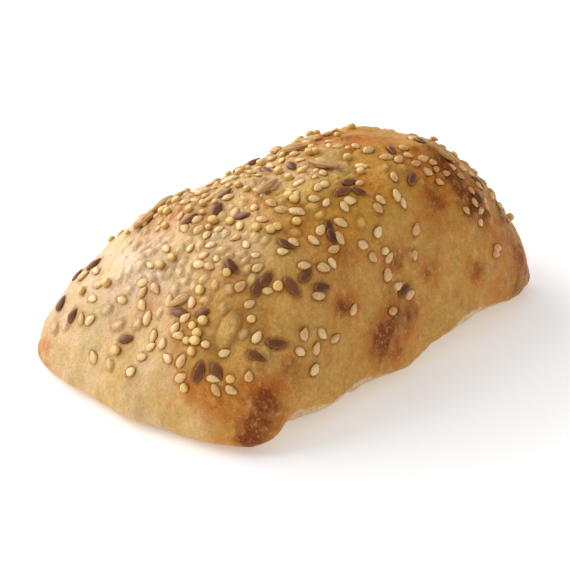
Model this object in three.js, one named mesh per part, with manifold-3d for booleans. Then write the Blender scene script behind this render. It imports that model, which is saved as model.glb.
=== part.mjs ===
// A seeded bread roll: a long pillow of dough with squarish corners, baked on a flat sheet.
// Millimetres, +Z up. The long way is X and the roll rests on its flat base at z = 0.
// The front long side faces -Y, and the lower, rounder short end faces -X.

import * as THREE from 'three';
import { mergeVertices } from 'three/addons/utils/BufferGeometryUtils.js';
import Module from 'manifold-3d';

// Overall size of the crust, without the seeds that stand on it
const LENGTH = 118;
const WIDTH = 80;
const HEIGHT = 45;

// Level sections: the flat base, the widest height above it, and how the dome closes
const BASE_SHARE = 0.88;
const BELLY_HEIGHT = 4;
const DOME_SIDE_POWER = 0.73;
const DOME_TOP_POWER = 1.38;

// Plan: a superellipse that is squarish near the base and round at the crown
const LOW_CORNER_POWER = 5.2;
const CROWN_CORNER_POWER = 2.3;

// The crown leans to the far end and to the front, and the top rises a little to both
const LEAN_TO_FAR_END = 6.4;
const LEAN_TO_FRONT = 7.5;
const LEAN_POWER = 1.5;
const RISE_TO_FAR_END = 0.025;
const RISE_TO_FRONT = 0.085;

// The long front edge stands off the sheet beside each of its two corners, and the toe of the near
// corner reaches down to the sheet. Places along the edge, in millimetres
const FRONT_EDGE_LIFTS = [
  { x: -36, reach: 7, lift: 6.8 },
  { x: -19, reach: 13, lift: 3 },
  { x: 2, reach: 12, lift: 0.4 },
  { x: 28, reach: 14, lift: 6.7 },
];
const FRONT_EDGE_INSET = 5.4;

// Below this share of the height the far end and the front swell out in their middles, and the
// near end draws in a little, in millimetres
const SWELL_TOP = 0.6;
const FAR_END_SWELL = 1.4;
const NEAR_END_DRAW = 0.4;
const FRONT_SWELL = 0.7;

// Pull of each lower corner along and across the roll, outwards where positive
const CORNER_PULLS = [
  { x: -1, y: -1, along: -6.5, across: 2.2 },
  { x: 1, y: -1, along: 0.4, across: 0.2 },
  { x: -1, y: 1, along: -3.5, across: -5.6 },
  { x: 1, y: 1, along: 1, across: 0.8 },
];
const CORNER_PULL_POWER = 1.5;

// Lumps and hollows of the crust: centre, radius and height in millimetres
const LUMPS = [
  { name: 'toe of the near front corner', x: -46, y: -39, z: 2, radius: 6, rise: 2.4 },
  { name: 'fold along the crown', x: 22, y: 8, z: 44, radius: 11, rise: 1.2 },
  { name: 'dip behind the near end', x: -14, y: -2, z: 42, radius: 15, rise: -0.8 },
  { name: 'fall of the crown to the back', x: 16, y: 20, z: 37, radius: 24, rise: -2.2 },
  { name: 'flat of the back shoulder', x: -2, y: 30, z: 38, radius: 18, rise: -1.4 },
  { name: 'swell low on the front', x: 12, y: -38, z: 14, radius: 12, rise: 0.8 },
  { name: 'hollow low on the front', x: -22, y: -39, z: 16, radius: 11, rise: -0.7 },
];

// Gentle unevenness of the whole crust
const WAVE_HEIGHT = 0.3;
const WAVES = [
  { x: 0.21, y: 0.13, z: 0.11, phase: 0.4 },
  { x: -0.12, y: 0.25, z: 0.19, phase: 1.9 },
  { x: 0.31, y: -0.22, z: 0.17, phase: 4.1 },
];

// Lumps and waves fade out over this height, so that the base stays flat
const FLAT_BASE_FADE = 3;

// Rings of the mesh from the crown to the base edge, and how many of them turn under the belly
const RINGS = 20;
const RIM_RINGS = 3;

// Seeds, largest first: how many, their size, and how much narrower the tip is than the middle
const SEED_KINDS = [
  { name: 'sunflower kernel', count: 12, length: 10, width: 4.4, thickness: 2.4, taper: 0.5 },
  { name: 'linseed', count: 56, length: 4.8, width: 2.5, thickness: 1.3, taper: 0.4 },
  { name: 'sesame seed', count: 74, length: 3.3, width: 2.1, thickness: 1.1, taper: 0.4 },
];
const SEED_PROUD_SHARE = 0.15;
const SEED_GAP = 0.5;
const SEED_SIDES = 6;
const SEED_BANDS = 3;
const SEED_TRIES = 6000;
const RANDOM_SEED = 20177;

// Where the seeds lie: none low down, and few where the crust faces the front
const SEEDS_FROM_HEIGHT = 12;
const SEEDS_FULL_HEIGHT = 32;
const FRONT_SEED_SHARE = 0.25;
const FRONT_FACING_FROM = 0.35;
const FRONT_FACING_FULL = 0.75;

const CRUST_COLOUR = 0xd9a868;
const CRUST_ROUGHNESS = 0.62;

const QUARTER_TURN = Math.PI / 2;
const NORMAL_STEP = 0.02;
const RANDOM_FACTOR = 1664525;
const RANDOM_OFFSET = 1013904223;
const RANDOM_RANGE = 2 ** 32;

function smoothStep(from, to, value) {
  const t = Math.min(Math.max((value - from) / (to - from), 0), 1);
  return t * t * (3 - 2 * t);
}

// Share of the half width, and height, of a ring from 0 on the crown to 1 at the base edge.
// above is 1 on the dome and falls to 0 where the rim has turned under to the base
function ringLevel(ring) {
  const domeShare = 1 - RIM_RINGS / RINGS;
  if (ring <= domeShare) {
    const angle = (1 - ring / domeShare) * QUARTER_TURN;
    const across = Math.max(Math.cos(angle), 0) ** DOME_SIDE_POWER;
    const height = BELLY_HEIGHT + (HEIGHT - BELLY_HEIGHT) * Math.sin(angle) ** DOME_TOP_POWER;
    return { across, height, above: 1 };
  }
  const angle = ((1 - ring) / (1 - domeShare)) * QUARTER_TURN;
  const across = BASE_SHARE + (1 - BASE_SHARE) * Math.sin(angle);
  return { across, height: BELLY_HEIGHT * (1 - Math.cos(angle)), above: Math.sin(angle) };
}

// Superellipse point, as shares of the half length and half width, towards the side point (a, b)
function planPoint(a, b, ring, across, level) {
  if (ring === 0) {
    return { fx: 0, fy: 0 };
  }
  const power = LOW_CORNER_POWER + (CROWN_CORNER_POWER - LOW_CORNER_POWER) * smoothStep(0, 1, level);
  const alongSide = a / ring;
  const acrossSide = b / ring;
  const rounding = (Math.abs(alongSide) ** power + Math.abs(acrossSide) ** power) ** (-1 / power);
  return { fx: across * rounding * alongSide, fy: across * rounding * acrossSide };
}

// One point of the plain pillow. a runs along the roll and b across it, both from -1 to 1
function pillowPoint(a, b) {
  const ring = Math.max(Math.abs(a), Math.abs(b));
  const { across, height, above } = ringLevel(ring);
  const level = height / HEIGHT;
  const { fx, fy } = planPoint(a, b, ring, across, level);
  const low = 1 - smoothStep(0, SWELL_TOP, level);
  const front = Math.max(-fy, 0);
  const midSide = 1 - Math.abs(fx) ** 3;
  let pullAlong = 0;
  let pullAcross = 0;
  for (const corner of CORNER_PULLS) {
    const nearness = (Math.max(fx * corner.x, 0) * Math.max(fy * corner.y, 0)) ** CORNER_PULL_POWER;
    pullAlong += corner.along * corner.x * nearness;
    pullAcross += corner.across * corner.y * nearness;
  }
  const endShift = (FAR_END_SWELL * Math.max(fx, 0) + NEAR_END_DRAW * Math.max(-fx, 0)) * (1 - fy * fy);
  const frontShift = -FRONT_SWELL * front * (1 - fx ** 4);
  const lean = level ** LEAN_POWER;
  const x = (fx * LENGTH) / 2 + low * (endShift + pullAlong) + LEAN_TO_FAR_END * lean;
  const y = (fy * WIDTH) / 2 + low * (frontShift + pullAcross) - LEAN_TO_FRONT * lean
    + FRONT_EDGE_INSET * front * midSide * (1 - above);
  let edgeLift = 0;
  for (const lift of FRONT_EDGE_LIFTS) {
    edgeLift += lift.lift * Math.exp(-(((x - lift.x) / lift.reach) ** 2));
  }
  const z = height * (1 + RISE_TO_FAR_END * fx - RISE_TO_FRONT * fy)
    + edgeLift * front * front * above * low;
  return new THREE.Vector3(x, y, z);
}

// How far the crust stands out of the plain pillow at a point
function crustRise(point) {
  let rise = 0;
  for (const lump of LUMPS) {
    const centre = new THREE.Vector3(lump.x, lump.y, lump.z);
    rise += lump.rise * Math.exp(-point.distanceToSquared(centre) / (lump.radius * lump.radius));
  }
  for (const wave of WAVES) {
    rise += WAVE_HEIGHT * Math.sin(wave.x * point.x + wave.y * point.y + wave.z * point.z + wave.phase);
  }
  return rise * smoothStep(0, FLAT_BASE_FADE, point.z);
}

// Outward normal of the plain pillow, from two short steps along its skin
function pillowNormal(a, b) {
  const alongA = pillowPoint(a + NORMAL_STEP, b).sub(pillowPoint(a - NORMAL_STEP, b));
  const alongB = pillowPoint(a, b + NORMAL_STEP).sub(pillowPoint(a, b - NORMAL_STEP));
  return alongA.cross(alongB).normalize();
}

function crustPoint(a, b) {
  const point = pillowPoint(a, b);
  const rise = crustRise(point);
  return rise === 0 ? point : point.addScaledVector(pillowNormal(a, b), rise);
}

// The same place on the faceted crust, between the four corners of its cell
function facetPoint(a, b) {
  const cellA = Math.floor(a * RINGS);
  const cellB = Math.floor(b * RINGS);
  const shareA = a * RINGS - cellA;
  const shareB = b * RINGS - cellB;
  const corner = (stepA, stepB) => crustPoint((cellA + stepA) / RINGS, (cellB + stepB) / RINGS);
  const nearSide = corner(0, 0).lerp(corner(1, 0), shareA);
  const farSide = corner(0, 1).lerp(corner(1, 1), shareA);
  return nearSide.lerp(farSide, shareB);
}

// Closed skin: a square grid for the dome and rim, and a fan for the flat base
function crustGeometry() {
  const positions = [];
  const side = 2 * RINGS;
  const indexOf = (i, j) => i * (side + 1) + j;
  for (let i = 0; i <= side; i += 1) {
    for (let j = 0; j <= side; j += 1) {
      positions.push(...crustPoint(i / RINGS - 1, j / RINGS - 1).toArray());
    }
  }
  const triangles = [];
  for (let i = 0; i < side; i += 1) {
    for (let j = 0; j < side; j += 1) {
      const corners = [indexOf(i, j), indexOf(i + 1, j), indexOf(i + 1, j + 1), indexOf(i, j + 1)];
      // each cell is split along the line from the crown to its corner of the base
      const turn = i < RINGS === j < RINGS ? 0 : 1;
      const [p, q, r, s] = [0, 1, 2, 3].map((k) => corners[(k + turn) % 4]);
      triangles.push(p, q, r, p, r, s);
    }
  }
  const edge = [];
  for (let k = 0; k < side; k += 1) {
    edge.push(indexOf(k, 0));
  }
  for (let k = 0; k < side; k += 1) {
    edge.push(indexOf(side, k));
  }
  for (let k = side; k > 0; k -= 1) {
    edge.push(indexOf(k, side));
  }
  for (let k = side; k > 0; k -= 1) {
    edge.push(indexOf(0, k));
  }
  const middle = positions.length / 3;
  positions.push(0, 0, 0);
  edge.forEach((corner, k) => {
    triangles.push(middle, edge[(k + 1) % edge.length], corner);
  });
  const geometry = new THREE.BufferGeometry();
  geometry.setAttribute('position', new THREE.Float32BufferAttribute(positions, 3));
  geometry.setIndex(triangles);
  return geometry;
}

// Change of place and size that gives the crust its stated length, width and height
function fitToSize(geometry) {
  geometry.computeBoundingBox();
  const size = geometry.boundingBox.getSize(new THREE.Vector3());
  const centre = geometry.boundingBox.getCenter(new THREE.Vector3());
  const scale = new THREE.Vector3(LENGTH / size.x, WIDTH / size.y, HEIGHT / size.z);
  return new THREE.Matrix4()
    .makeScale(scale.x, scale.y, scale.z)
    .multiply(new THREE.Matrix4().makeTranslation(-centre.x, -centre.y, 0));
}

// Repeatable random numbers from 0 to 1
function randomNumbers(seed) {
  let state = seed;
  return () => {
    state = (Math.imul(state, RANDOM_FACTOR) + RANDOM_OFFSET) >>> 0;
    return state / RANDOM_RANGE;
  };
}

// Chance that a seed lies at a point of the crust
function seedChance(point, normal) {
  const high = smoothStep(SEEDS_FROM_HEIGHT, SEEDS_FULL_HEIGHT, point.z);
  const facingFront = smoothStep(FRONT_FACING_FROM, FRONT_FACING_FULL, -normal.y);
  return high * (1 - (1 - FRONT_SEED_SHARE) * facingFront);
}

// A flat drop of few faces, its length along X
function seedGeometry(kind) {
  const geometry = new THREE.SphereGeometry(1, SEED_SIDES, SEED_BANDS);
  geometry.deleteAttribute('normal');
  geometry.deleteAttribute('uv');
  geometry.rotateZ(-QUARTER_TURN);
  const position = geometry.getAttribute('position');
  for (let i = 0; i < position.count; i += 1) {
    const along = position.getX(i);
    const narrowing = 1 - kind.taper * Math.max(along, 0);
    position.setY(i, position.getY(i) * narrowing);
  }
  geometry.scale(kind.length / 2, kind.width / 2, kind.thickness / 2);
  return mergeVertices(geometry);
}

// Seeds of every kind, laid flat on the crust and clear of each other
function placeSeeds(toSize) {
  const random = randomNumbers(RANDOM_SEED);
  const placed = [];
  for (const kind of SEED_KINDS) {
    let count = 0;
    for (let tries = 0; tries < SEED_TRIES && count < kind.count; tries += 1) {
      const a = random() * 2 - 1;
      const b = random() * 2 - 1;
      const point = facetPoint(a, b).applyMatrix4(toSize);
      const normal = pillowNormal(a, b);
      const turn = random() * Math.PI * 2;
      const wanted = random() < seedChance(point, normal);
      const reach = kind.length / 2;
      if (wanted && placed.every((seed) => seed.point.distanceTo(point) > seed.reach + reach + SEED_GAP)) {
        placed.push({ kind, point, normal, turn, reach });
        count += 1;
      }
    }
  }
  return placed;
}

function seedOnCrust({ kind, point, normal, turn }) {
  const upright = new THREE.Quaternion().setFromUnitVectors(new THREE.Vector3(0, 0, 1), normal);
  const spin = new THREE.Quaternion().setFromAxisAngle(new THREE.Vector3(0, 0, 1), turn);
  const centre = point.clone().addScaledVector(normal, SEED_PROUD_SHARE * kind.thickness);
  const place = new THREE.Matrix4().compose(centre, upright.multiply(spin), new THREE.Vector3(1, 1, 1));
  return seedGeometry(kind).applyMatrix4(place);
}

const wasm = await Module();
wasm.setup();

function toSolid(geometry) {
  const vertProperties = Float32Array.from(geometry.getAttribute('position').array);
  const triVerts = Uint32Array.from(geometry.getIndex().array);
  return new wasm.Manifold(new wasm.Mesh({ numProp: 3, vertProperties, triVerts }));
}

function toGeometry(solid) {
  const mesh = solid.getMesh();
  const geometry = new THREE.BufferGeometry();
  geometry.setAttribute('position', new THREE.Float32BufferAttribute(mesh.vertProperties, 3));
  geometry.setIndex(Array.from(mesh.triVerts));
  geometry.computeVertexNormals();
  return geometry;
}

// The crust with its seeds fused on, as one closed solid
function makeRoll() {
  const crust = crustGeometry();
  const toSize = fitToSize(crust);
  crust.applyMatrix4(toSize);
  let solid = toSolid(crust);
  for (const seed of placeSeeds(toSize)) {
    solid = solid.add(toSolid(seedOnCrust(seed)));
  }
  const material = new THREE.MeshStandardMaterial({
    color: CRUST_COLOUR,
    roughness: CRUST_ROUGHNESS,
    metalness: 0,
  });
  const roll = new THREE.Mesh(toGeometry(solid), material);
  roll.name = 'roll';
  return roll;
}

const model = new THREE.Group();
model.add(makeRoll());

export default model;
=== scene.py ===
# A seeded bread roll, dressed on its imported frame. Blender units are metres, and MM turns a
# size in millimetres into metres. The roll's long way is X, and the side that the photo shows
# faces -Y.
import math

import bpy
import numpy as np
from mathutils import Matrix, Vector
from mathutils.bvhtree import BVHTree
from mathutils.kdtree import KDTree


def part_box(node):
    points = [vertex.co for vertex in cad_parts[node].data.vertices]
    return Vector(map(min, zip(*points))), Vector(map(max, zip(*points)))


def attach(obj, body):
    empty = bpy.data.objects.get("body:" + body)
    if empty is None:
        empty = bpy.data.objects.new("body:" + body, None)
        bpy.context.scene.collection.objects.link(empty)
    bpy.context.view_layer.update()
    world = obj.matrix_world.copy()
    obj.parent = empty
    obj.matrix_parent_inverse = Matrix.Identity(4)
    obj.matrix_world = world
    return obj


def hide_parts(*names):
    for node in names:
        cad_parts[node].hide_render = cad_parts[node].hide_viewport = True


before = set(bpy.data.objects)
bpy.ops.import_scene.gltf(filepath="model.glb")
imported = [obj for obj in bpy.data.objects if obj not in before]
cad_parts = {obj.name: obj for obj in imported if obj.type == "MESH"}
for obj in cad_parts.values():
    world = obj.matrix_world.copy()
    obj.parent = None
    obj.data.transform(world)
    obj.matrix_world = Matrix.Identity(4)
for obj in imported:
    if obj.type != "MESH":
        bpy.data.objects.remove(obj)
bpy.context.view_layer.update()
MM = 0.001

# Size of the crust, from the frame. The front and the top of its box have seeds on them
ROLL_LOW, ROLL_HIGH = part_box("roll")
LENGTH = ROLL_HIGH[0] - ROLL_LOW[0]
WIDTH = 2 * ROLL_HIGH[1]
SEED_STAND = 0.85 * MM
HEIGHT = ROLL_HIGH[2] - SEED_STAND

# Form of the plain pillow, as in the frame: shares of the size, and millimetres times MM
BASE_SHARE = 0.88
BELLY_HEIGHT = 4 * MM
DOME_SIDE_POWER = 0.73
DOME_TOP_POWER = 1.38
RIM_SHARE = 0.15
LOW_CORNER_POWER = 5.2
CROWN_CORNER_POWER = 2.3
LEAN_TO_FAR_END = 6.4 * MM
LEAN_TO_FRONT = 7.5 * MM
LEAN_POWER = 1.5
RISE_TO_FAR_END = 0.025
RISE_TO_FRONT = 0.085
FRONT_EDGE_INSET = 5.4 * MM
SWELL_TOP = 0.6
FAR_END_SWELL = 1.4 * MM
NEAR_END_DRAW = 0.4 * MM
FRONT_DRAW = -0.7 * MM
CORNER_PULL_POWER = 1.5
FLAT_BASE_FADE = 3 * MM

# Lifts of the front edge: place along it, reach and lift in millimetres
FRONT_EDGE_LIFTS = [(-36, 7, 6.8), (-19, 13, 3), (2, 12, 0.4), (28, 14, 6.7)]

# Corner pulls: side along and across, then the pull along and across in millimetres
CORNER_PULLS = [(-1, -1, -6.5, 2.2), (1, -1, 0.4, 0.2), (-1, 1, -3.5, -5.6), (1, 1, 1, 0.8)]

# Lumps and hollows: centre, radius and rise in millimetres
LUMPS = [
    (-46, -39, 2, 6, 2.4),
    (22, 8, 44, 11, 1.2),
    (-14, -2, 42, 15, -0.8),
    (16, 20, 37, 24, -2.2),
    (-2, 30, 38, 18, -1.4),
    (12, -38, 14, 12, 0.8),
    (-22, -39, 16, 11, -0.7),
]

# Gentle waves: turns in radians for each millimetre along X, Y and Z, and the phase
WAVE_RISE = 0.3 * MM
WAVES = [(0.21, 0.13, 0.11, 0.4), (-0.12, 0.25, 0.19, 1.9), (0.31, -0.22, 0.17, 4.1)]

# Fine relief: size of the bumps and their height, in metres
RELIEF = [(9 * MM, 0.28 * MM), (4.2 * MM, 0.2 * MM), (1.9 * MM, 0.09 * MM)]
WRINKLE_SIZE = 3.4 * MM
WRINKLE_DEPTH = 0.14 * MM
UNDERSIDE_HOLLOW = 0.3 * MM

# Mesh of the crust: rings from the crown to the base edge, and rings of the underside
RINGS = 136
UNDERSIDE_RINGS = [0.985, 0.96, 0.92, 0.84, 0.7, 0.5, 0.28]

# The photo's frame and the camera that matches it
PHOTO_SIZE = 570
PHOTO_MIDDLE = PHOTO_SIZE / 2
CAMERA_AZIMUTH = math.radians(-46.8)
CAMERA_ELEVATION = math.radians(29)
CAMERA_DISTANCE = 0.59
PIXELS_PER_METRE = 4160
AIM_RIGHT = 0.1 * MM
AIM_UP = 8.7 * MM
SENSOR_WIDTH = 36

# Seeds that the photo shows: pixel across, pixel down, and the way the tip points in the picture,
# in degrees turned left from the picture's right
LINSEEDS_SEEN = [
    (190, 220, 35), (217, 210, 55), (226, 194, 33), (242, 217, 17), (291, 167, -45),
    (238, 171, 33), (253, 164, 30), (267, 172, -30), (349, 183, 10), (341, 193, 205),
    (359, 192, -22), (391, 151, -58), (400, 131, -30), (412, 179, 65), (329, 228, -75),
    (332, 237, -60), (286, 245, -25), (305, 276, 50), (292, 288, -55), (321, 288, 10),
    (403, 290, 45), (421, 142, -25), (478, 183, -45), (477, 197, -45), (79, 275, 50),
    (95, 265, 40), (62, 303, 60), (73, 316, 60), (127, 339, 12), (232, 267, -50),
    (266, 280, 52), (257, 289, 72), (276, 344, 0), (256, 357, -25), (199, 372, 70),
    (217, 372, -60), (180, 313, 175), (204, 313, 30), (197, 188, 55),
]
SESAME_SEEN = [
    (192, 303, 90), (186, 318, 40), (176, 328, 60), (179, 336, 175), (181, 361, 60),
    (168, 359, 130), (143, 357, 5), (152, 347, 30), (163, 344, 75), (154, 337, 80),
    (225, 353, 20), (257, 337, 60), (181, 378, 30), (213, 379, -10), (216, 390, -60),
    (231, 390, -30), (249, 376, 80), (94, 357, 105), (82, 319, 90), (91, 320, 45),
    (122, 300, 160), (143, 293, 55), (143, 283, 30), (156, 289, -60), (143, 306, -70),
    (148, 319, 75), (99, 285, 10), (93, 299, -10), (97, 272, -50), (84, 276, 40),
    (170, 301, 85), (240, 287, 45), (267, 291, 0), (250, 304, 30), (199, 265, 0),
    (210, 267, -10), (258, 268, 30), (368, 151, 25), (404, 149, 5), (362, 167, 0),
    (394, 178, -70), (325, 185, 50), (318, 188, 60), (360, 184, 25), (350, 201, 0),
    (344, 207, -60), (380, 200, -40), (378, 209, -45), (396, 196, 105), (403, 204, -70),
    (300, 212, -25), (314, 199, 0), (301, 183, 40), (340, 223, -25), (321, 230, 60),
    (314, 241, -35), (293, 243, -30), (339, 238, -60), (334, 249, 30), (363, 245, -20),
    (372, 257, -45), (385, 251, 0), (388, 258, 60), (377, 232, 60), (415, 230, 75),
    (414, 255, -80), (387, 275, 90), (332, 263, -60), (323, 268, -10), (305, 266, 0),
    (283, 252, 0), (409, 295, 45), (318, 296, 0), (412, 139, -40), (423, 159, 10),
    (432, 163, 0, 0.85), (439, 182, -30, 0.85), (454, 155, -30, 0.85), (460, 177, -30, 0.85), (462, 169, -30, 0.85),
    (471, 176, -45, 0.85), (471, 191, -50, 0.85), (484, 201, 0, 0.85), (491, 197, -20, 0.85), (480, 211, 20, 0.85),
    (466, 211, -50, 0.85), (480, 223, -60, 0.85), (499, 206, -40, 0.85), (508, 222, 80, 0.85), (497, 248, 0),
    (496, 254, -20), (221, 178, 60), (216, 182, 40), (227, 182, 20), (234, 179, 20),
    (271, 167, -20), (252, 173, 0), (273, 159, 40), (229, 198, 20), (202, 193, 20),
    (185, 203, 10), (198, 220, 35), (185, 229, -60), (199, 230, 40), (219, 230, 30),
    (235, 213, 70), (255, 208, 90), (272, 204, -30), (283, 210, 0), (296, 212, -10),
    (263, 220, -5), (298, 184, 45), (296, 195, 60), (326, 203, 60), (353, 309, 70),
    (392, 311, 20), (322, 334, -50), (335, 338, 40), (316, 348, 75), (300, 352, -30),
    (304, 334, 80), (314, 370, 60), (131, 372, 40), (451, 160, -50, 0.85), (492, 194, -50, 0.85), (499, 202, -55, 0.85),
    (397, 286, 30), (452, 168, -20, 0.85), (478, 186, -40, 0.85), (486, 207, -30, 0.85), (474, 203, -60, 0.85), (446, 174, 10, 0.85),
    (436, 170, 40, 0.85), (427, 172, -30, 0.85), (416, 164, 20), (408, 156, -20), (398, 160, 50), (386, 158, 0),
]
MILLET_SEEN = [
    (204, 322), (198, 333), (196, 342), (206, 345), (192, 352), (193, 326), (185, 387),
    (230, 379), (227, 274), (201, 291), (161, 266), (108, 283), (83, 292), (117, 351),
    (188, 341), (296, 223), (295, 201), (289, 197), (279, 173), (289, 179), (309, 154),
    (316, 153), (347, 159), (360, 173), (360, 125), (388, 126), (240, 174), (261, 165),
    (214, 222), (231, 223), (257, 229), (271, 231), (277, 228), (352, 129), (178, 202),
    (251, 320), (279, 287),
]
KERNELS_SEEN = [
    (147, 221, 42, 0.85), (165, 206, 38, 0.7), (178, 200, 35, 0.5), (326, 167, -10, 0.9), (268, 189, 35, 0.75),
    (298, 150, 12, 0.7), (278, 153, 5, 0.8), (182, 301, 30, 0.5), (442, 155, -38, 0.7), (433, 142, -10, 0.4),
]

# Seeds sunk in the crust, which only lift it: sesame and kernels
SUNK_SESAME_SEEN = [
    (110, 364, 100), (128, 290, 30), (138, 324, 50), (169, 273, 60), (184, 281, 0),
    (175, 290, 80), (252, 280, 80), (141, 265, 60), (129, 271, 80), (214, 400, -45),
    (312, 207, 0), (361, 223, 90), (394, 288, 60), (410, 255, -80), (243, 334, 50),
    (55, 328, 90), (66, 326, 40), (118, 325, 20), (160, 312, 70), (107, 310, 30),
    (120, 277, 60), (150, 252, 20), (135, 246, 70), (168, 240, 10), (180, 250, 50),
    (200, 245, 80), (222, 250, 20), (160, 275, 0), (190, 270, 60), (205, 300, 20),
    (215, 285, 80), (240, 255, 0), (320, 215, 40), (295, 233, 0), (265, 240, 60),
    (440, 176, -40), (448, 168, -40), (456, 184, -50), (465, 198, -60), (455, 163, -40), (474, 214, -60),
    (487, 214, -60), (430, 180, 20), (421, 182, 0), (402, 168, 30), (412, 148, 0), (385, 168, 60),
]
SUNK_KERNELS_SEEN = [(228, 330, 65, 1), (339, 152, 10, 0.8), (253, 181, 0, 0.7), (262, 356, 60, 0.6),
    (487, 221, -70, 0.6)]

# Browned places that the photo shows: pixel across and down, radius in millimetres and strength
BROWN_SPOTS_SEEN = [
    (267, 406, 3.9, 1.0), (263, 418, 4.0, 0.85), (253, 432, 4.0, 1.0), (246, 443, 3.0, 0.8),
    (386, 337, 4.6, 1.0), (386, 350, 3.6, 0.8), (399, 323, 4.0, 0.9), (410, 315, 3.2, 0.85),
    (344, 306, 2.4, 0.6), (343, 255, 2.6, 0.55), (333, 243, 2.0, 0.45), (397, 260, 2.6, 0.5),
    (292, 369, 2.2, 0.55), (429, 271, 2.0, 0.5), (477, 267, 2.6, 0.5), (425, 150, 2.4, 0.5),
    (441, 163, 3.2, 0.8), (452, 176, 3.8, 1.0), (462, 189, 4.0, 1.0), (471, 203, 3.8, 1.0),
    (436, 197, 3.2, 0.6), (430, 205, 2.4, 0.45), (482, 215, 3.0, 0.5), (522, 264, 5.0, 0.5),
    (334, 134, 2.6, 0.7), (319, 140, 2.2, 0.6), (350, 138, 2.4, 0.6), (520, 250, 4.0, 0.5),
    (523, 280, 4.2, 0.55), (516, 288, 3.6, 0.55), (511, 234, 3.6, 0.4), (501, 212, 3.6, 0.8),
    (325, 300, 1.6, 0.3), (318, 262, 1.8, 0.3), (300, 330, 1.6, 0.3), (398, 350, 1.8, 0.5),
]
GOLDEN_SPOTS_SEEN = [
    (196, 392, 4.0, 0.8), (212, 404, 4.6, 0.8), (232, 414, 6.0, 1.0), (247, 398, 5.5, 1.0),
    (272, 390, 5.5, 0.9), (236, 440, 6.0, 0.6), (258, 420, 8.0, 0.8), (390, 338, 8.5, 1.0),
    (345, 305, 5.5, 0.7), (343, 252, 6.0, 0.6), (395, 262, 5.5, 0.6), (292, 369, 4.5, 0.6),
    (436, 200, 7.0, 0.9), (450, 190, 7.0, 1.0), (330, 137, 4.5, 1.0), (355, 140, 5.5, 1.0),
    (380, 140, 6.5, 0.6), (425, 165, 8.0, 0.9), (460, 185, 8.5, 1.0), (518, 262, 8.0, 1.0),
    (505, 285, 6.5, 0.8), (400, 165, 8.0, 0.3), (477, 268, 5.5, 0.6), (429, 271, 4.5, 0.6),
    (485, 220, 9.0, 0.6), (505, 240, 8.0, 0.8), (435, 210, 8.0, 0.6), (405, 318, 8.5, 0.8),
    (150, 240, 5.0, 0.35), (160, 228, 5.0, 0.5), (45, 345, 3.5, 0.6), (52, 325, 3.0, 0.45),
    (180, 213, 4.0, 0.5), (200, 212, 4.0, 0.4), (262, 200, 4.0, 0.5), (148, 305, 3.0, 0.5),
    (285, 165, 3.5, 0.6), (310, 145, 4.0, 0.9), (300, 232, 3.5, 0.4), (281, 228, 3.0, 0.4),
    (372, 185, 4.5, 0.4),
]

# Patches that the photo shows more or less toasted than the crust round them: the shoulder over
# the near front corner, the edge behind the near end, and the pale crust beside a sunk kernel.
# Pixel across and down, radius in millimetres and change in toast
TOAST_PATCHES_SEEN = [(205, 350, 13, 0.8), (160, 215, 7, 0.35), (255, 262, 8, -0.35)]

# Places with a wet sheen, where the crust is glossier and its colour takes a painted highlight: pixel, radius in
# millimetres and strength
WET_GLOSS_AND_PAINTED_SHEEN_SEEN = [
    (126, 272, 10, 0.9), (60, 320, 6, 0.7), (155, 242, 6, 0.6), (90, 285, 6, 0.4), (250, 170, 4, 0.6),
    (225, 240, 8, 0.5), (170, 285, 8, 0.5), (290, 175, 6, 0.3),
]

# Rough floury stretches of the front edge: place along it and reach in millimetres, and how much
# further up the rim they go
FLOUR_STRETCHES = [(-18, 9, 0.055), (17, 8, 0.07), (-4, 9, 0.02), (-30, 5, 0.01)]

# Browned places out of the photo's sight, spread by rule
HIDDEN_SPOTS = 26
HIDDEN_SPOT_RADIUS = (2.0, 4.2)
HIDDEN_SPOT_STRENGTH = (0.4, 1.0)
HIDDEN_GLOW = 2.2
BROWN_GAIN = 1.25

# Seeds: how far they lie above the crust as a share of their thickness, and their spread in size
SIZE_SPREAD = 0.12
SEED_PROUD = {"kernels": 0.36, "linseeds": 0.32, "sesame": 0.2, "millet": 0.3}

# Small seeds between those listed, on the top and the pale side
FILL_COUNTS = {
    "sesame": (46, 2.3 * MM),
    "millet": (22, 2.1 * MM),
    "sunk_sesame": (80, 2.1 * MM),
}
FILL_FROM_HEIGHT = 26 * MM
FILL_FULL_HEIGHT = 40 * MM
FILL_SIZE = (0.6, 1.0)

# Seeds out of the photo's sight: how many of each kind, and the gap to the nearest other seed
HIDDEN_COUNTS = {
    "kernels": (6, 7 * MM),
    "linseeds": (24, 3 * MM),
    "sesame": (90, 2.4 * MM),
    "millet": (26, 2.2 * MM),
    "sunk_sesame": (40, 2.4 * MM),
}
HIDDEN_TRIES = 60000
HIDDEN_FACING = 0.12
FAR_GAP = 40 * MM
SEEDS_FROM_HEIGHT = 12 * MM
SEEDS_FULL_HEIGHT = 32 * MM

# The crust round each kind: length and width of its bed, its depth, and the height of its rim
SEED_BEDS = {
    "kernels": (10 * MM, 4.6 * MM, 0.35 * MM, 0.25 * MM),
    "linseeds": (4.6 * MM, 2.4 * MM, 0.25 * MM, 0.16 * MM),
    "sesame": (3.2 * MM, 2.2 * MM, 0.25 * MM, 0.16 * MM),
    "millet": (2.3 * MM, 2.3 * MM, 0.25 * MM, 0.14 * MM),
    "sunk_kernels": (9 * MM, 4.2 * MM, -0.7 * MM, -0.14 * MM),
    "sunk_sesame": (3.3 * MM, 2.1 * MM, -0.5 * MM, -0.1 * MM),
}

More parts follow.
